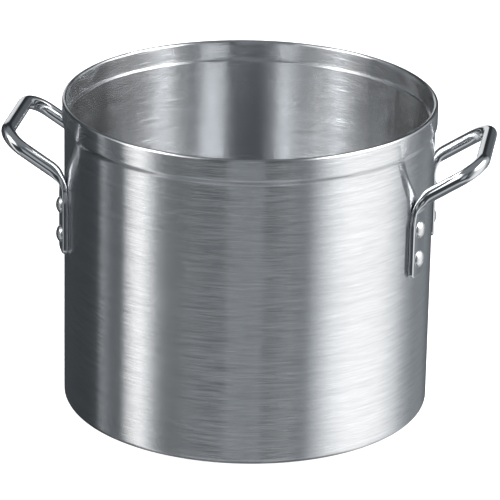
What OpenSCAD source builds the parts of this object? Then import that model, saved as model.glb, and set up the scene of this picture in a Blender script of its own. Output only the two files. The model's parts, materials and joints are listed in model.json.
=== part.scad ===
// Open aluminium stock pot with two riveted loop handles.
// Millimetres, +Z up, origin at the centre of the underside.
// The handles lie along +X and -X, and the front is towards -Y.

/* [Pot] */
// Outside diameter of the wall
wall_d = 312; // [300:2:330]
// Height from the underside to the top of the rim
pot_h = 268; // [250:1:320]
// Wall thickness
wall_t = 4; // [3:0.5:5]
// Floor thickness
floor_t = 5; // [4:0.5:8]
// Outside radius between the floor and the wall
corner_r = 5; // [3:0.5:8]
// Inside radius between the floor and the wall
inner_corner_r = 9; // [5:0.5:20]

/* [Rim band] */
// How far the band below the rim stands out from the wall
band_out = 1.8; // [1:0.1:3]
// Height of the band, rim included
band_h = 17; // [12:0.5:24]
// Height of the step from the band down to the wall, outside
step_h = 6; // [4:0.5:10]
// Height of the sharper ledge under the band, inside
ledge_h = 2.5; // [1.5:0.5:6]

/* [Handles] */
// Diameter of the handle bar
bar_d = 12; // [9:0.5:14]
// Distance between the centre lines of a handle's two arms
arm_spacing = 105; // [95:1:115]
// Width of a leg
leg_w = 24; // [20:0.5:28]
// Thickness of a leg
leg_t = 4.8; // [4:0.1:6]
// Radius of the two corners at a leg's lower end
leg_corner_r = 4.5; // [2:0.5:10]
// Distance of the arms' lower ends below the rim
arm_drop = 60.5; // [55:0.5:70]
// Distance of the grip bar's centre line below the rim
grip_drop = 30.5; // [20:0.5:40]
// Distance from the wall out to the grip bar's centre line
grip_out = 44; // [36:0.5:60]
// Bend radius of the bar's centre line at the grip's two corners
corner_bend_r = 21; // [14:0.5:26]

/* [Rivets] */
// Distance of the upper rivets below the rim
upper_rivet_drop = 88; // [84:0.5:100]
// Distance between the two rivets of a leg
rivet_pitch = 26; // [20:0.5:32]
// Diameter of a rivet's shank
shank_d = 5.5; // [4:0.5:7]
// Diameter of a rivet's heads
head_d = 14.5; // [11:0.5:16]
// Height of the domed outer head
head_h = 3.6; // [2:0.1:5]
// Height of the heads' straight edge, below the dome
head_edge_h = 0.6; // [0.4:0.1:0.8]
// Height of the low inner head
inner_head_h = 1.8; // [1:0.1:3]
// Length of leg below the lower rivet's axis
leg_end = 15.5; // [13:0.5:24]

/* [Hidden] */

$fn = 64;
ARC_STEPS = 8;       // straight runs in each arc of an outline
OVERLAP = 1;         // how far joined shapes run into each other
BAR_CLEARANCE = 0.3; // gap between the round bar and the wall

wall_r = wall_d / 2;
band_r = wall_r + band_out;
inner_r = wall_r - wall_t;
inner_band_r = band_r - wall_t;
rim_r = wall_t / 2;

leg_face_r = wall_r + leg_t;
leg_angle = asin(arm_spacing / 2 / leg_face_r);
bar_r = bar_d / 2;
upper_z = pot_h - upper_rivet_drop;
lower_z = upper_z - rivet_pitch;
leg_foot_z = lower_z - leg_end;
arm_z = pot_h - arm_drop;
grip_z = pot_h - grip_drop;

// The loop lies in one plane that rises outwards from the two legs.
// In that plane u runs outwards and v runs from leg to leg.
arm_v = arm_spacing / 2;
arm_x = sqrt(pow(wall_r + bar_r + BAR_CLEARANCE, 2) - arm_v * arm_v);
loop_run = wall_r + grip_out - arm_x;
loop_rise = atan2(grip_z - arm_z, loop_run);
grip_u = loop_run / cos(loop_rise);
bend_u = grip_u - corner_bend_r;
bend_v = arm_v - corner_bend_r;

// Side of the pot, as the angle that its handle faces
RIGHT = 0;
LEFT = 180;

// Points on an arc round (x, z)
function arc(x, z, r, from, to) = [
    for (i = [0:ARC_STEPS])
        let (a = from + (to - from) * i / ARC_STEPS)
            [x + r * cos(a), z + r * sin(a)]
];

// An S-shaped step between two radii, level with the wall at both ends
function step(r0, z0, r1, z1) = [
    for (i = [0:ARC_STEPS])
        let (s = i / ARC_STEPS)
            [r0 + (r1 - r0) * (1 - cos(180 * s)) / 2, z0 + (z1 - z0) * s]
];

// Half of the shell's section: up the outside, over the rim and down the inside
function shell_outline() = concat(
    [[0, 0]],
    arc(wall_r - corner_r, corner_r, corner_r, -90, 0),
    step(wall_r, pot_h - band_h - step_h, band_r, pot_h - band_h),
    arc(band_r - rim_r, pot_h - rim_r, rim_r, 0, 180),
    step(inner_band_r, pot_h - band_h, inner_r, pot_h - band_h - ledge_h),
    arc(inner_r - inner_corner_r, floor_t + inner_corner_r, inner_corner_r, 0, -90),
    [[0, floor_t]]
);

// Puts its children on the wall at a leg, with their +Z pointing straight out of the wall
module at_leg(side, leg, z) {
    // The left handle faces the other way, so its front leg is on its other hand
    hand = side == RIGHT ? leg : -leg;
    rotate([0, 0, side + hand * leg_angle])
        translate([0, 0, z])
            rotate([0, 90, 0])
                children();
}

// A rivet's shank, through the wall and a leg
module shank(side, leg, z) {
    at_leg(side, leg, z)
        translate([0, 0, inner_r - OVERLAP])
            cylinder(d = shank_d, h = leg_face_r - inner_r + 2 * OVERLAP);
}

// The four shanks of a handle, to cut their holes
module rivet_holes(side) {
    for (leg = [-1, 1])
        for (z = [upper_z, lower_z])
            shank(side, leg, z);
}

module pot_body() {
    color("#b9bcc0")
        difference() {
            rotate_extrude($fn = 180)
                polygon(shell_outline());
            rivet_holes(RIGHT);
            rivet_holes(LEFT);
        }
}

// A leg's outline, laid flat: a square lower end with rounded corners, straight sides and a top
// that narrows to the bar. -X is up on the pot, and the origin is the middle of the lower end.
function leg_outline() =
    let (top = leg_foot_z - arm_z, corner_y = leg_w / 2 - leg_corner_r)
        concat(
            arc(-leg_corner_r, -corner_y, leg_corner_r, -90, 0),
            arc(-leg_corner_r, corner_y, leg_corner_r, 0, 90),
            [[top + leg_w / 2, leg_w / 2]],
            arc(top, 0, bar_r, 90, 270),
            [[top + leg_w / 2, -leg_w / 2]]
        );

// A flat leg, curved to lie on the wall
module leg_plate(side, leg) {
    plate_h = arm_z - leg_foot_z + bar_d;
    intersection() {
        translate([0, 0, leg_foot_z - OVERLAP])
            difference() {
                cylinder(r = leg_face_r, h = plate_h);
                translate([0, 0, -OVERLAP])
                    cylinder(r = wall_r, h = plate_h + 2 * OVERLAP);
            }
        at_leg(side, leg, leg_foot_z)
            linear_extrude(leg_face_r + OVERLAP)
                polygon(leg_outline());
    }
}

// Half of the loop in its own plane: one arm with a round lower end, one corner and half of the grip
module half_loop() {
    translate([0, arm_v, 0])
        rotate([0, 90, 0])
            rotate_extrude()
                polygon(concat(arc(0, 0, bar_r, -90, 0), [[bar_r, bend_u], [0, bend_u]]));
    translate([bend_u, bend_v, 0])
        rotate_extrude(angle = 90)
            translate([corner_bend_r, 0])
                circle(d = bar_d);
    translate([grip_u, 0, 0])
        rotate([-90, 0, 0])
            cylinder(d = bar_d, h = bend_v);
}

module loop(side) {
    rotate([0, 0, side])
        translate([arm_x, 0, arm_z])
            rotate([0, -loop_rise, 0]) {
                half_loop();
                mirror([0, 1, 0])
                    half_loop();
            }
}

module handle(side) {
    color("#dfe3e6")
        difference() {
            union() {
                loop(side);
                leg_plate(side, -1);
                leg_plate(side, 1);
            }
            rivet_holes(side);
        }
}

// A round head with a short straight edge and a domed top, standing on z = 0
module head(height) {
    dome_h = height - head_edge_h;
    ball_r = (head_d * head_d / 4 + dome_h * dome_h) / (2 * dome_h);
    intersection() {
        translate([0, 0, height - ball_r])
            sphere(r = ball_r);
        translate([0, 0, -OVERLAP])
            cylinder(d = head_d, h = height + 2 * OVERLAP);
    }
}

module rivet(side, leg, z) {
    color("#cfd1d3")
        union() {
            shank(side, leg, z);
            difference() {
                at_leg(side, leg, z)
                    translate([0, 0, leg_face_r])
                        head(head_h);
                translate([0, 0, z - head_d])
                    cylinder(r = leg_face_r, h = 2 * head_d);
            }
            intersection() {
                at_leg(side, leg, z)
                    translate([0, 0, inner_r])
                        rotate([180, 0, 0])
                            head(inner_head_h);
                translate([0, 0, z - head_d])
                    cylinder(r = inner_r, h = 2 * head_d);
            }
        }
}

pot_body();
handle(RIGHT);  // handle_right
handle(LEFT);  // handle_left

for (side = [["right", RIGHT], ["left", LEFT]])
    for (leg = [["front", -1], ["rear", 1]])
        for (row = [["upper", upper_z], ["lower", lower_z]]) {
            name = str("rivet_", side[0], "_", leg[0], "_", row[0]);
            rivet(side[1], leg[1], row[1]);
        }
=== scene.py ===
"""Looks, lights and camera for an open aluminium stock pot with two riveted loop handles.

Everything is in metres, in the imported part's own frame: +Z up, origin at the centre of the
underside, handles along +X and -X, front towards -Y.
"""
import json
import math

import bmesh
import bpy
from mathutils import Matrix, Vector


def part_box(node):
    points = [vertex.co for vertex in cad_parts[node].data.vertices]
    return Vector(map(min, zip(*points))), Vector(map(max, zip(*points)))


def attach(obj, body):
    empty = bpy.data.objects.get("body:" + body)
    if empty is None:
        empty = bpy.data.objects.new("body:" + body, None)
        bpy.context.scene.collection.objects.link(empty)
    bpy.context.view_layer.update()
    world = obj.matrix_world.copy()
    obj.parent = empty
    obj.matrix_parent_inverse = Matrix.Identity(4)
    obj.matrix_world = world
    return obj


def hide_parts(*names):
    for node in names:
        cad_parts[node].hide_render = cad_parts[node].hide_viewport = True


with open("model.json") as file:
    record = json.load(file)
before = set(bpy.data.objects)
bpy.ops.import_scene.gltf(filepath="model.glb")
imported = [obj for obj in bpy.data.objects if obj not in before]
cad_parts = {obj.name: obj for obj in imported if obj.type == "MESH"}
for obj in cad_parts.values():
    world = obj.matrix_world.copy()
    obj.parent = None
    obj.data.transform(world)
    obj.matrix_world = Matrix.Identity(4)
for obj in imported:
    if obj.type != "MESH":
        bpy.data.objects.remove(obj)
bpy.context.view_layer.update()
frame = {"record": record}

MM = 0.001
BODY = "root"
SIDES = {"right": 1, "left": -1}
LEGS = {"front": -1, "rear": 1}
ROWS = ("upper", "lower")

# --- Sizes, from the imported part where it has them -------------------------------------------
pot_low, pot_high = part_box("pot_body")
handle_low, handle_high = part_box("handle_right")
lid_mouth = next(m for m in frame["record"]["mounts"] if m["name"] == "lid_mouth")

POT_H = pot_high[2]
BAND_R = pot_high[0]
WALL_T = BAND_R - lid_mouth["dims"]["r_mm"] * MM
BAND_OUT = 1.8 * MM
WALL_R = BAND_R - BAND_OUT
INNER_R = WALL_R - WALL_T
INNER_BAND_R = BAND_R - WALL_T
BAND_H = 17 * MM
STEP_H = 6 * MM
LEDGE_H = 1.2 * MM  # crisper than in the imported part, for a thin bright line
FLOOR_T = 5 * MM
CORNER_R = 5 * MM
INNER_CORNER_R = 9 * MM
EDGE_STRIP = 0.4 * MM  # narrow strip beside each bend, which keeps the bend's shading in it
SHELL_SEGMENTS = 360

BAR_R = 6 * MM
BAR_CLEARANCE = 0.3 * MM
LEG_W = 24 * MM
LEG_T = 4.8 * MM
LEG_EDGE_R = 1.9 * MM
LEG_CORNER_R = 4.5 * MM
LEAST_FLAT = 0.01 * MM  # keeps the points of a thin strap apart
LEG_FOOT_Z = handle_low[2]
ARM_Y = 52.5 * MM
GRIP_X = handle_high[0] - BAR_R
GRIP_Z = handle_high[2] - BAR_R
ARM_ROOT_Z = POT_H - 60.5 * MM
CORNER_BEND_R = 21 * MM
# Where a leg changes into its arm, measured from the knee, where their centre lines would meet
SHOULDER_DROP = 23 * MM
BEND_DROP = 11 * MM
BEND_REACH = 14 * MM
TAPER_RISE = 6 * MM
# How fast the leg narrows, rounds off and leaves the wall's curve: at 1 it takes the whole bend
NARROWING = 1.3
ROUNDING = 1.1
STRAIGHTENING = 1.6

HEAD_R = 7.25 * MM
HEAD_H = 3.6 * MM
HEAD_EDGE_H = 0.6 * MM
INNER_HEAD_H = 1.8 * MM
INNER_HEAD_EDGE_H = 0.5 * MM
HEAD_SUNK = 0.25 * MM  # how far a head reaches into what it sits on
# The small bevel between a head's dome and its straight edge, as shares of the edge's height
BEVEL_IN = 0.4
BEVEL_DOWN = 0.7
SHANK_R = 2.75 * MM
RIVET_SEGMENTS = 40


# --- Small helpers ----------------------------------------------------------------------------
def smooth(t):
    """0 to 1 with level ends."""
    t = min(1.0, max(0.0, t))
    return t * t * (3 - 2 * t)


def mix(a, b, t):
    """The value that is a share t of the way from a to b."""
    return a + (b - a) * t


def arc(x, z, radius, start, end, steps):
    """Points on an arc, with its angles in degrees."""
    angles = [math.radians(mix(start, end, i / steps)) for i in range(steps + 1)]
    return [(x + radius * math.cos(a), z + radius * math.sin(a)) for a in angles]


def line(start, end, steps):
    """Points along a straight run, without its two ends."""
    return [
        (mix(start[0], end[0], i / steps), mix(start[1], end[1], i / steps))
        for i in range(1, steps)
    ]


def finish_piece(name, bm, material, nodes):
    """Turns a bmesh into a piece that rides on the pot and stands for CAD nodes."""
    bmesh.ops.recalc_face_normals(bm, faces=bm.faces)
    mesh = bpy.data.meshes.new(name)
    bm.to_mesh(mesh)
    bm.free()
    for face in mesh.polygons:
        face.use_smooth = True
    mesh.materials.append(material)
    piece = bpy.data.objects.new(name, mesh)
    bpy.context.scene.collection.objects.link(piece)
    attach(piece, BODY)
    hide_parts(*nodes)
    return piece


def bridge(bm, ring_a, ring_b):
    """Quads between two closed rings of the same length."""
    count = len(ring_a)
    for i in range(count):
        j = (i + 1) % count
        bm.faces.new((ring_a[i], ring_a[j], ring_b[j], ring_b[i]))


def lathe(profile, segments, matrix=None):
    """A closed solid of revolution about Z, put in place by matrix. Its profile, of radii and
    heights, starts and ends on the axis."""
    bm = bmesh.new()
    first = bm.verts.new((0, 0, profile[0][1]))
    last = bm.verts.new((0, 0, profile[-1][1]))
    rings = []
    for r, z in profile[1:-1]:
        turns = [2 * math.pi * i / segments for i in range(segments)]
        rings.append([bm.verts.new((r * math.cos(a), r * math.sin(a), z)) for a in turns])
    for ring_a, ring_b in zip(rings, rings[1:]):
        bridge(bm, ring_a, ring_b)
    for i in range(segments):
        j = (i + 1) % segments
        bm.faces.new((first, rings[0][i], rings[0][j]))
        bm.faces.new((last, rings[-1][j], rings[-1][i]))
    if matrix is not None:
        bmesh.ops.transform(bm, matrix=matrix, verts=bm.verts)
    return bm


# --- Pot --------------------------------------------------------------------------------------
def step_curve(r0, z0, r1, z1, steps=18):
    """The S-shaped step between the wall and the wider band, in line with both at its ends."""
    points = []
    for i in range(steps + 1):
        s = i / steps
        points.append((mix(r0, r1, (1 - math.cos(math.pi * s)) / 2), mix(z0, z1, s)))
    return points


def pot_profile():
    """Half of the shell's section: out along the underside, up the outside, down the inside."""
    step_z = POT_H - BAND_H - STEP_H
    band_z = POT_H - BAND_H
    rim_r = WALL_T / 2
    outer_corner = arc(WALL_R - CORNER_R, CORNER_R, CORNER_R, -90, 0, 12)
    outer_step = step_curve(WALL_R, step_z, BAND_R, band_z)
    rim = arc(BAND_R - rim_r, POT_H - rim_r, rim_r, 0, 180, 20)
    ledge_z = band_z - LEDGE_H
    inner_step = step_curve(INNER_BAND_R, band_z, INNER_R, ledge_z)
    inner_corner = arc(
        INNER_R - INNER_CORNER_R, FLOOR_T + INNER_CORNER_R, INNER_CORNER_R, 0, -90, 14
    )
    underside_edge = (WALL_R - CORNER_R - EDGE_STRIP, 0)
    outer_foot = (WALL_R, CORNER_R + EDGE_STRIP)
    outer_top = (WALL_R, step_z - EDGE_STRIP)
    inner_top = (INNER_R, ledge_z - EDGE_STRIP)
    inner_foot = (INNER_R, FLOOR_T + INNER_CORNER_R + EDGE_STRIP)
    floor_edge = (INNER_R - INNER_CORNER_R - EDGE_STRIP, FLOOR_T)

    profile = [(0, 0)] + line((0, 0), underside_edge, 12) + [underside_edge]
    profile += outer_corner
    profile += [outer_foot] + line(outer_foot, outer_top, 16) + [outer_top]
    profile += outer_step
    profile += line((BAND_R, band_z), (BAND_R, POT_H - rim_r), 5)
    profile += rim
    profile += line((INNER_BAND_R, POT_H - rim_r), (INNER_BAND_R, band_z), 5)
    profile += inner_step
    profile += [inner_top] + line(inner_top, inner_foot, 16) + [inner_foot]
    profile += inner_corner
    profile += [floor_edge] + line(floor_edge, (0, FLOOR_T), 12) + [(0, FLOOR_T)]
    return profile


def build_pot(material):
    """The shell, without its rivet holes, which the legs and the heads cover."""
    bm = lathe(pot_profile(), SHELL_SEGMENTS)
    return finish_piece("pot_shell", bm, material, ["pot_body"])


# --- Handles ----------------------------------------------------------------------------------
class Section:
    """One cross-section of a handle: its centre, its travel and outward directions and its shape.

    The shape is round where flat is 0 and a strap where it is 1. It is straight where curved is 0
    and follows the wall where it is 1.
    """

    def __init__(self, centre, travel, outward, half_w, half_t, flat, curved):
        self.centre = Vector(centre)
        self.travel = Vector(travel).normalized()
        outward = Vector(outward)
        self.outward = (outward - self.travel * outward.dot(self.travel)).normalized()
        self.half_w = half_w
        self.half_t = half_t
        self.flat = flat
        self.curved = curved

    def mirrored(self):
        """The same section on the rear half of the loop, where the path runs the other way."""
        flip = Matrix.Diagonal((1, -1, 1))
        return Section(
            flip @ self.centre, -(flip @ self.travel), flip @ self.outward,
            self.half_w, self.half_t, self.flat, self.curved,
        )


def strap_outline(half_w, half_t, corner_steps=8, face_steps=8):
    """Points round a flat bar with rounded edges, from the middle of one edge."""
    radius = min(LEG_EDGE_R, half_w, half_t)
    flat_w, flat_t = half_w - radius, half_t - radius
    quarter = [(half_w, 0.0)]
    for i in range(corner_steps):
        a = math.pi / 2 * i / (corner_steps - 1)
        quarter.append((flat_w + radius * math.cos(a), max(flat_t, LEAST_FLAT) + radius * math.sin(a)))
    for i in range(1, face_steps):
        quarter.append((flat_w * (1 - i / face_steps), half_t))
    middle = [(0.0, half_t)]
    left = [(-x, y) for x, y in reversed(quarter)]
    upper = quarter + middle + left
    lower = [(x, -y) for x, y in reversed(upper[1:-1])]
    return upper + lower


OUTLINE_POINTS = len(strap_outline(LEG_W / 2, LEG_T / 2))


def section_ring(section):
    """The section's points in space."""
    sideways = section.outward.cross(section.travel)
    strap = strap_outline(section.half_w, section.half_t)
    ring = []
    for i, (w, t) in enumerate(strap):
        turn = 2 * math.pi * i / OUTLINE_POINTS
        w = mix(section.half_w * math.cos(turn), w, section.flat)
        t = mix(section.half_t * math.sin(turn), t, section.flat)
        straight = section.centre + sideways * w + section.outward * t
        ring.append(straight.lerp(wrap_on_wall(section, sideways, w, t), section.curved))
    return ring


def wrap_on_wall(section, sideways, w, t):
    """The point bent round the pot's axis, so that a leg follows the wall."""
    axis_r = section.centre.xy.length
    angle = math.atan2(section.centre.y, section.centre.x)
    tangent = Vector((-math.sin(angle), math.cos(angle), 0))
    turn = angle + math.copysign(1, sideways.dot(tangent)) * w / axis_r
    radius = axis_r + t
    return Vector((radius * math.cos(turn), radius * math.sin(turn), section.centre.z))


def leg_sections(normal, centre_r, bend_z, shoulder_z, width_at):
    """The flat leg, from its lower end with two round corners to the start of the bend."""
    heights = [LEG_CORNER_R * (1 - math.cos(math.radians(a))) for a in range(6, 91, 6)]
    heights += [mix(LEG_CORNER_R, shoulder_z - LEG_FOOT_Z, i / 10) for i in range(1, 11)]
    heights += [mix(shoulder_z, bend_z, i / 8) - LEG_FOOT_Z for i in range(1, 9)]
    sections = []
    for height in heights:
        half_w = width_at(LEG_FOOT_Z + height)
        if height < LEG_CORNER_R:
            reach = math.sqrt(LEG_CORNER_R**2 - (LEG_CORNER_R - height) ** 2)
            half_w += reach - LEG_CORNER_R
        half_t = LEG_T / 2
        if height < LEG_EDGE_R:
            half_t += math.sqrt(LEG_EDGE_R**2 - (LEG_EDGE_R - height) ** 2) - LEG_EDGE_R
        centre = normal * centre_r + Vector((0, 0, LEG_FOOT_Z + height))
        sections.append(Section(centre, (0, 0, 1), normal, half_w, half_t, 1.0, 1.0))
    return sections


def bar_section(centre, travel, outward):
    """The plain round bar."""
    return Section(centre, travel, outward, BAR_R, BAR_R, 0.0, 0.0)


def straight_bar(start, end, outward, steps):
    """The round bar along a straight run, without its start."""
    centres = [start.lerp(end, i / steps) for i in range(1, steps + 1)]
    return [bar_section(centre, end - start, outward) for centre in centres]


def corner_bend(start, along, outward, steps):
    """The round bar through a quarter turn, from its arm's direction to the grip's."""
    middle = start + Vector((0, CORNER_BEND_R, 0))
    sections = []
    for i in range(1, steps + 1):
        a = math.pi / 2 * i / steps
        spoke = along * math.sin(a) + Vector((0, -math.cos(a), 0))
        travel = along * math.cos(a) + Vector((0, math.sin(a), 0))
        sections.append(bar_section(middle + spoke * CORNER_BEND_R, travel, outward))
    return sections


def front_half_sections():
    """The front half of the right handle, from the foot of its leg to the middle of the grip."""
    centre_r = WALL_R + LEG_T / 2
    leg_angle = -math.asin(ARM_Y / (WALL_R + LEG_T))
    normal = Vector((math.cos(leg_angle), math.sin(leg_angle), 0))
    leg_axis = normal * centre_r

    root_x = math.sqrt((WALL_R + BAR_R + BAR_CLEARANCE) ** 2 - ARM_Y**2)
    rise = math.atan2(GRIP_Z - ARM_ROOT_Z, GRIP_X - root_x)
    along = Vector((math.cos(rise), 0, math.sin(rise)))
    plane_normal = Vector((math.sin(rise), 0, -math.cos(rise)))
    knee_z = ARM_ROOT_Z - (root_x - leg_axis.x) * math.tan(rise)
    knee = Vector((leg_axis.x, -ARM_Y, knee_z))
    shoulder_z = knee_z - SHOULDER_DROP
    bend_z = knee_z - BEND_DROP
    bend_start = leg_axis + Vector((0, 0, bend_z))
    bend_end = knee + along * BEND_REACH
    taper_length = SHOULDER_DROP + TAPER_RISE

    def width_at(z):
        return mix(LEG_W / 2, BAR_R, smooth((z - shoulder_z) / taper_length))

    sections = leg_sections(normal, centre_r, bend_z, shoulder_z, width_at)
    bend_steps = 18
    for i in range(1, bend_steps + 1):
        t = i / bend_steps
        centre = bend_start * (1 - t) ** 2 + knee * (2 * t * (1 - t)) + bend_end * t**2
        travel = (knee - bend_start) * (1 - t) + (bend_end - knee) * t
        outward = normal.lerp(plane_normal, smooth(t))
        half_w = mix(width_at(bend_z), BAR_R, smooth(t * NARROWING))
        half_t = mix(LEG_T / 2, BAR_R, smooth(t))
        flat = 1 - smooth(t * ROUNDING)
        curved = 1 - smooth(t * STRAIGHTENING)
        sections.append(Section(centre, travel, outward, half_w, half_t, flat, curved))

    arm_length = (GRIP_X - bend_end.x) / math.cos(rise) - CORNER_BEND_R
    arm_end = bend_end + along * arm_length
    sections += straight_bar(bend_end, arm_end, plane_normal, 8)
    sections += corner_bend(arm_end, along, plane_normal, 22)
    grip_start = sections[-1].centre
    grip_middle = Vector((grip_start.x, 0, grip_start.z))
    sections += straight_bar(grip_start, grip_middle, plane_normal, 6)
    return sections


def build_handle(side, material):
    """One loop from foot to foot; the left one is the right one turned half round the pot."""
    half = front_half_sections()
    sections = half + [s.mirrored() for s in reversed(half[:-1])]
    bm = bmesh.new()
    rings = [[bm.verts.new(p) for p in section_ring(s)] for s in sections]
    for ring_a, ring_b in zip(rings, rings[1:]):
        bridge(bm, ring_a, ring_b)
    bm.faces.new(rings[0])
    bm.faces.new(reversed(rings[-1]))
    if SIDES[side] < 0:
        bmesh.ops.rotate(bm, matrix=Matrix.Rotation(math.pi, 3, "Z"), verts=bm.verts)
    node = f"handle_{side}"
    return finish_piece(f"loop_{side}", bm, material, [node])


# --- Rivets -----------------------------------------------------------------------------------
def head_profile(height, edge_h, steps=12):
    """From the middle of a head's top out to its straight edge, heights above its seat."""
    dome_h = height - edge_h
    ball_r = (HEAD_R**2 + dome_h**2) / (2 * dome_h)
    widest = math.asin((HEAD_R - edge_h * BEVEL_IN) / ball_r)
    points = []
    for i in range(steps + 1):
        a = widest * i / steps
        points.append((ball_r * math.sin(a), height - ball_r + ball_r * math.cos(a)))
    points.append((HEAD_R, points[-1][1] - edge_h * BEVEL_DOWN))
    return points


def rivet_profile():
    """Half of a rivet's section about its own axis. Its heights are distances from the pot's axis."""
    outer_seat = WALL_R + LEG_T
    outer = [(r, outer_seat + z) for r, z in head_profile(HEAD_H, HEAD_EDGE_H)]
    inner = [(r, INNER_R - z) for r, z in head_profile(INNER_HEAD_H, INNER_HEAD_EDGE_H)]
    body = [
        (HEAD_R, outer_seat - HEAD_SUNK),
        (SHANK_R, outer_seat - HEAD_SUNK),
        (SHANK_R, INNER_R + HEAD_SUNK),
        (HEAD_R, INNER_R + HEAD_SUNK),
    ]
    return outer + body + list(reversed(inner))


def build_rivet(side, leg, row, material):
    """One rivet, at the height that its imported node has."""
    node = f"rivet_{side}_{leg}_{row}"
    low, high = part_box(node)
    height = (low[2] + high[2]) / 2
    angle = math.asin(ARM_Y / (WALL_R + LEG_T)) * LEGS[leg] * SIDES[side]
    if SIDES[side] < 0:
        angle += math.pi
    out = Vector((math.cos(angle), math.sin(angle), 0))
    up = Vector((0, 0, 1))
    axes = Matrix((up.cross(out), up, out)).transposed().to_4x4()
    matrix = Matrix.Translation((0, 0, height)) @ axes
    bm = lathe(rivet_profile(), RIVET_SEGMENTS, matrix)
    name = f"riveted_{side}_{leg}_{row}"
    return finish_piece(name, bm, material, [node])


# --- Materials --------------------------------------------------------------------------------
WALL_COLOUR = (0.81, 0.82, 0.832)
CHROME_COLOUR = (0.83, 0.845, 0.86)
RIVET_COLOUR = (0.88, 0.885, 0.89)
# How far each kind of brushing leans the wall's normal up or down, from its finest to its widest
GROOVE_LEAN = 0.45
SCRATCH_LEAN = 0.28
DRIFT_LEAN = 0.02
OUTSIDE_DEPTH = 0.08  # how deep the outside's scratches are, against the inside's


class Nodes:
    """A material's node tree, with short calls to add and join nodes."""

    def __init__(self, name):
        self.material = bpy.data.materials.new(name)
        self.material.use_nodes = True
        self.tree = self.material.node_tree
        self.shader = self.tree.nodes["Principled BSDF"]

    @classmethod
    def on(cls, tree):
        """The same calls on a tree that isn't a material's."""
        nodes = cls.__new__(cls)
        nodes.tree = tree
        return nodes

    def add(self, kind, inputs=None, **settings):
        node = self.tree.nodes.new(kind)
        for key, value in settings.items():
            setattr(node, key, value)
        for key, value in (inputs or {}).items():
            if isinstance(value, bpy.types.NodeSocket):
                self.tree.links.new(value, node.inputs[key])
            else:
                node.inputs[key].default_value = value
        return node

    def math(self, operation, a, b=0.0):
        return self.add("ShaderNodeMath", {0: a, 1: b}, operation=operation).outputs[0]

    def noise(self, vector, scale, detail=2.0, roughness=0.5):
        inputs = {"Vector": vector, "Scale": scale, "Detail": detail, "Roughness": roughness}
        return self.add("ShaderNodeTexNoise", inputs).outputs["Fac"]

    def remap(self, value, low, high, to_low, to_high):
        inputs = {
            "Value": value, "From Min": low, "From Max": high, "To Min": to_low, "To Max": to_high
        }
        return self.add("ShaderNodeMapRange", inputs).outputs["Result"]

    def vector(self, operation, a, b=(0.0, 0.0, 0.0)):
        return self.add("ShaderNodeVectorMath", {0: a, 1: b}, operation=operation).outputs[0]

    def join(self, output, socket):
        self.tree.links.new(output, self.shader.inputs[socket])

    def tint(self, tone, colour):
        """Base colour: a colour made lighter or darker by tone, which is 1 on average."""
        scaled = self.add("ShaderNodeVectorMath", {0: colour, "Scale": tone}, operation="SCALE")
        self.join(scaled.outputs[0], "Base Color")


def turned_coordinates(nodes):
    """Object coordinates, the same with z less the radius in place of z, and the radius.

    The turned ones change along the wall and along the floor alike, so grooves go round both.
    """
    coordinates = nodes.add("ShaderNodeTexCoord").outputs["Object"]
    x, y, z = nodes.add("ShaderNodeSeparateXYZ", {0: coordinates}).outputs
    squares = nodes.math("ADD", nodes.math("MULTIPLY", x, x), nodes.math("MULTIPLY", y, y))
    radius = nodes.math("SQRT", squares)
    along = nodes.math("SUBTRACT", z, radius)
    turned = nodes.add("ShaderNodeCombineXYZ", {0: x, 1: y, 2: along}).outputs[0]
    return coordinates, turned, radius


def brushed_aluminium():
    """Aluminium with fine grooves that run round the pot."""
    nodes = Nodes("brushed_aluminium")
    coordinates, turned, radius = turned_coordinates(nodes)

    def streaks(round_scale, across_scale, detail):
        """Noise drawn out round the pot. The scales are cycles to the metre."""
        scale = (round_scale, round_scale, across_scale)
        stretched = nodes.add("ShaderNodeMapping", {"Vector": turned, "Scale": scale})
        return nodes.noise(stretched.outputs[0], 1.0, detail, 0.6)

    grooves = streaks(42.0, 14000.0, 1.0)
    scratches = streaks(52.0, 1150.0, 2.0)
    drifts = streaks(12.0, 300.0, 2.0)
    clouds = nodes.noise(coordinates, 11.0, 3.0)

    tone = nodes.remap(scratches, 0.3, 0.7, 0.94, 1.05)
    tone = nodes.math("MULTIPLY", tone, nodes.remap(drifts, 0.3, 0.7, 0.96, 1.03))
    tone = nodes.math("MULTIPLY", tone, nodes.remap(clouds, 0.3, 0.7, 0.97, 1.02))
    nodes.tint(tone, WALL_COLOUR)
    nodes.join(nodes.remap(clouds, 0.3, 0.7, 0.20, 0.22), "Roughness")

    tangent = nodes.add("ShaderNodeTangent", direction_type="RADIAL", axis="Z").outputs[0]
    normal = nodes.add("ShaderNodeNewGeometry").outputs["Normal"]
    across = nodes.vector("CROSS_PRODUCT", normal, tangent)
    depth = nodes.remap(radius, INNER_BAND_R, WALL_R, 1.0, OUTSIDE_DEPTH)
    scratched = nodes.remap(scratches, 0.0, 1.0, -SCRATCH_LEAN, SCRATCH_LEAN)
    scratched = nodes.math("MULTIPLY", scratched, depth)
    grooved = nodes.remap(grooves, 0.0, 1.0, -GROOVE_LEAN, GROOVE_LEAN)
    drifted = nodes.remap(drifts, 0.0, 1.0, -DRIFT_LEAN, DRIFT_LEAN)
    lean = nodes.math("ADD", nodes.math("ADD", grooved, scratched), drifted)
    aside = nodes.add("ShaderNodeVectorMath", {0: across, "Scale": lean}, operation="SCALE")
    leaning = nodes.vector("ADD", normal, aside.outputs[0])
    nodes.join(nodes.vector("NORMALIZE", leaning), "Normal")
    nodes.join(tangent, "Tangent")
    nodes.shader.inputs["Metallic"].default_value = 1.0
    nodes.shader.inputs["Anisotropic"].default_value = 1.0
    nodes.shader.inputs["Anisotropic Rotation"].default_value = 0.25
    return nodes.material


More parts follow.
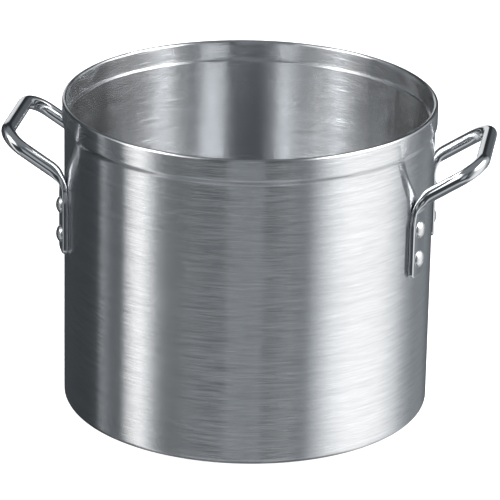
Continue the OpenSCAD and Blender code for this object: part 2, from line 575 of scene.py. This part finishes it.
def chrome_plate():
    """Bright chrome, a little wavy and smudged."""
    nodes = Nodes("chrome_plate")
    coordinates = nodes.add("ShaderNodeTexCoord").outputs["Object"]
    waves = nodes.noise(coordinates, 60.0, 2.0)
    smudges = nodes.noise(coordinates, 35.0, 4.0)
    tone = nodes.remap(smudges, 0.35, 0.7, 1.0, 0.93)
    nodes.tint(tone, CHROME_COLOUR)
    nodes.join(nodes.remap(smudges, 0.35, 0.7, 0.04, 0.09), "Roughness")
    bump = nodes.add("ShaderNodeBump", {"Height": waves, "Strength": 0.12, "Distance": 0.001})
    nodes.join(bump.outputs[0], "Normal")
    nodes.shader.inputs["Metallic"].default_value = 1.0
    return nodes.material


def rivet_aluminium():
    """Plain aluminium, pitted and dented by the riveting."""
    nodes = Nodes("rivet_aluminium")
    coordinates = nodes.add("ShaderNodeTexCoord").outputs["Object"]
    pits = nodes.noise(coordinates, 700.0, 3.0)
    dents = nodes.noise(coordinates, 180.0, 2.0)
    tone = nodes.remap(pits, 0.35, 0.7, 1.0, 0.88)
    nodes.tint(tone, RIVET_COLOUR)
    nodes.join(nodes.remap(pits, 0.35, 0.7, 0.2, 0.34), "Roughness")
    bump = nodes.add("ShaderNodeBump", {"Height": dents, "Strength": 0.2, "Distance": 0.0006})
    nodes.join(bump.outputs[0], "Normal")
    nodes.shader.inputs["Metallic"].default_value = 1.0
    return nodes.material


# --- Camera and studio ------------------------------------------------------------------------
# The camera stands a little to the right of the front and looks down on the pot.
VIEW_TURN = math.radians(8.1)
VIEW_RISE = math.radians(21.16)
VIEW_ROLL = math.radians(1.1)
VIEW_DISTANCE = 19.6 * WALL_R
AIM_RIGHT = -0.014 * WALL_R  # how far right of the frame's centre the pot's centre is
AIM_UP = 0.021 * WALL_R  # how far above it
FOCAL_SHARE = 7.176  # focal length over the frame's width
SENSOR = 36.0


def view_axes():
    """The camera's right, up and backward directions before it is rolled."""
    right = Vector((math.cos(VIEW_TURN), math.sin(VIEW_TURN), 0))
    towards = Vector((math.sin(VIEW_TURN), -math.cos(VIEW_TURN), 0))
    back = towards * math.cos(VIEW_RISE) + Vector((0, 0, math.sin(VIEW_RISE)))
    return right, back.cross(right), back


def build_camera():
    """The camera, far off with a long lens, as the pot is seen with little perspective."""
    right, up, back = view_axes()
    place = back * VIEW_DISTANCE + Vector((0, 0, POT_H / 2)) - right * AIM_RIGHT - up * AIM_UP
    c, s = math.cos(VIEW_ROLL), math.sin(VIEW_ROLL)
    axes = Matrix((right * c + up * s, up * c - right * s, back)).transposed()
    data = bpy.data.cameras.new("camera")
    data.sensor_width = SENSOR
    data.lens = FOCAL_SHARE * SENSOR
    data.clip_end = 50
    camera = bpy.data.objects.new("camera", data)
    camera.matrix_world = Matrix.Translation(place) @ axes.to_4x4()
    bpy.context.scene.collection.objects.link(camera)
    bpy.context.scene.camera = camera


# Brightness of the studio by bearing, in degrees from the camera round to the picture's right, in
# four tiers from the table up to high above the horizon. The outside of the wall mirrors the lower
# tiers and its inside the high one. The side panels are the same in the three lower tiers.
SIDE_PANELS_LEFT = (
    (-112, 0.06), (-102.6, 0.08), (-100.4, 0.55), (-98.6, 0.55), (-96.4, 0.09), (-81.4, 0.11),
    (-79.4, 0.82), (-76, 1.02), (-68, 1.06), (-62, 0.38),
)
SIDE_PANELS_RIGHT = (
    (41, 0.34), (49, 0.60), (57, 0.82), (65, 0.94), (90, 1.02), (98, 0.96), (108, 0.66),
)
TABLE_PANELS = (
    ((-180, 0.03), (-135, 0.03)) + SIDE_PANELS_LEFT
    + ((-57, 0.20), (-36, 0.52), (-12, 0.60), (0, 0.50), (30, 0.70)) + SIDE_PANELS_RIGHT
    + ((118, 0.70), (136, 0.55), (180, 0.03))
)
LOW_PANELS = (
    ((-180, 0.05), (-150, 0.06)) + SIDE_PANELS_LEFT
    + ((-57, 0.10), (-50, 0.05), (0, 0.06), (30, 0.06), (36, 0.14)) + SIDE_PANELS_RIGHT
    + ((116, 0.36), (128, 0.22), (145, 0.28), (165, 0.12), (180, 0.05))
)
HORIZON_PANELS = (
    ((-180, 0.03), (-176, 0.80), (-162, 0.80), (-155, 0.04)) + SIDE_PANELS_LEFT
    + ((-56, 0.06), (-14, 0.04), (-9, 0.40), (8, 0.40), (12, 0.04)) + SIDE_PANELS_RIGHT
    + ((118, 0.60), (136, 0.45), (143, 0.12), (158, 0.12), (168, 0.03), (180, 0.03))
)
HIGH_PANELS = (
    (-180, 0.03), (-145, 0.04), (-120, 0.2), (-106, 0.5), (-94, 1.0), (-86, 1.8), (-80, 5.0),
    (-73, 9.0), (-62, 10.5), (-57, 6.0), (-52, 3.4), (-46, 2.2), (-38, 1.6), (-30, 0.6),
    (-24, 0.16), (4, 0.14), (12, 0.08), (24, 0.12), (37, 0.35), (44, 1.5), (50, 4.2), (56, 8.5),
    (66, 10.0), (75, 9.5), (85, 9.5), (95, 6.5), (106, 3.0), (120, 0.5), (145, 0.04), (180, 0.03),
)
# Straight down and straight up, the brightness is the same all round.
NADIR = 0.15
ZENITH = 0.22
# Sines of the elevations between which one tier fades into the next
NADIR_TO_TABLE = (-0.86, -0.72)
TABLE_TO_LOW = (-0.52, -0.44)
LOW_TO_HORIZON = (-0.16, -0.08)
HORIZON_TO_HIGH = (0.26, 0.46)
HIGH_TO_ZENITH = (0.64, 0.82)
COOL = 0.10  # how much bluer the unlit parts of the studio are

FLOOR_GAP = 0.3 * MM
FLOOR_REACH = 8


def studio_colour(value):
    """A brightness as a colour: the brighter, the whiter it is."""
    cool = COOL * max(0.0, 1 - value)
    return (value * (1 - cool), value, value * (1 + cool), 1)


def set_ramp(ramp, stops):
    """Fills a colour ramp with stops."""
    while len(ramp.elements) > 1:
        ramp.elements.remove(ramp.elements[-1])
    for i, (position, value) in enumerate(stops):
        element = ramp.elements[0] if i == 0 else ramp.elements.new(position)
        element.position = position
        element.color = studio_colour(value)


def build_world():
    """A studio with soft light panels and dark gaps between them, seen only in reflections."""
    world = bpy.data.worlds.new("studio")
    bpy.context.scene.world = world
    world.use_nodes = True
    nodes = Nodes.on(world.node_tree)
    world.node_tree.nodes.clear()

    direction = nodes.add("ShaderNodeTexCoord").outputs["Generated"]
    turned = nodes.add(
        "ShaderNodeVectorRotate", {"Vector": direction, "Angle": -VIEW_TURN}, rotation_type="Z_AXIS"
    )
    x, y, z = nodes.add("ShaderNodeSeparateXYZ", {0: turned.outputs[0]}).outputs
    bearing = nodes.math("ARCTAN2", x, nodes.math("MULTIPLY", y, -1.0))
    share = nodes.remap(bearing, -math.pi, math.pi, 0.0, 1.0)

    def panels(stops):
        """The colour of one tier."""
        ramp = nodes.add("ShaderNodeValToRGB", {0: share})
        set_ramp(ramp.color_ramp, [((degrees + 180) / 360, value) for degrees, value in stops])
        return ramp.outputs[0]

    def above(lower, upper, fade):
        """One tier on top of another. Sockets 6 and 7 of a mix are its two colours."""
        rise = nodes.remap(z, fade[0], fade[1], 0.0, 1.0)
        inputs = {0: rise, 6: lower, 7: upper}
        return nodes.add("ShaderNodeMix", inputs, data_type="RGBA").outputs[2]

    colour = above(studio_colour(NADIR), panels(TABLE_PANELS), NADIR_TO_TABLE)
    colour = above(colour, panels(LOW_PANELS), TABLE_TO_LOW)
    colour = above(colour, panels(HORIZON_PANELS), LOW_TO_HORIZON)
    colour = above(colour, panels(HIGH_PANELS), HORIZON_TO_HIGH)
    colour = above(colour, studio_colour(ZENITH), HIGH_TO_ZENITH)
    light = nodes.add("ShaderNodeBackground", {"Color": colour, "Strength": 1.0})
    backdrop = nodes.add("ShaderNodeBackground", {"Color": (1, 1, 1, 1), "Strength": 1.0})
    camera_ray = nodes.add("ShaderNodeLightPath").outputs["Is Camera Ray"]
    seen = {0: camera_ray, 1: light.outputs[0], 2: backdrop.outputs[0]}
    mixed = nodes.add("ShaderNodeMixShader", seen)
    nodes.add("ShaderNodeOutputWorld", {0: mixed.outputs[0]})


def build_floor():
    """A pale floor just under the pot, which nothing mirrors."""
    material = bpy.data.materials.new("pale_floor")
    material.use_nodes = True
    shader = material.node_tree.nodes["Principled BSDF"]
    shader.inputs["Base Color"].default_value = (0.95, 0.95, 0.95, 1)
    shader.inputs["Roughness"].default_value = 0.9
    shader.inputs["Emission Color"].default_value = (1, 1, 1, 1)
    shader.inputs["Emission Strength"].default_value = 0.75
    bm = bmesh.new()
    bmesh.ops.create_grid(bm, x_segments=8, y_segments=8, size=FLOOR_REACH)
    mesh = bpy.data.meshes.new("floor")
    bm.to_mesh(mesh)
    bm.free()
    mesh.materials.append(material)
    floor = bpy.data.objects.new("floor", mesh)
    floor.location.z = -FLOOR_GAP
    floor.visible_glossy = False
    bpy.context.scene.collection.objects.link(floor)


def main():
    bpy.context.scene.view_settings.view_transform = "Standard"
    build_camera()
    build_world()
    build_floor()
    build_pot(brushed_aluminium())
    chrome = chrome_plate()
    rivet_metal = rivet_aluminium()
    for side in SIDES:
        build_handle(side, chrome)
        for leg in LEGS:
            for row in ROWS:
                build_rivet(side, leg, row, rivet_metal)


main()
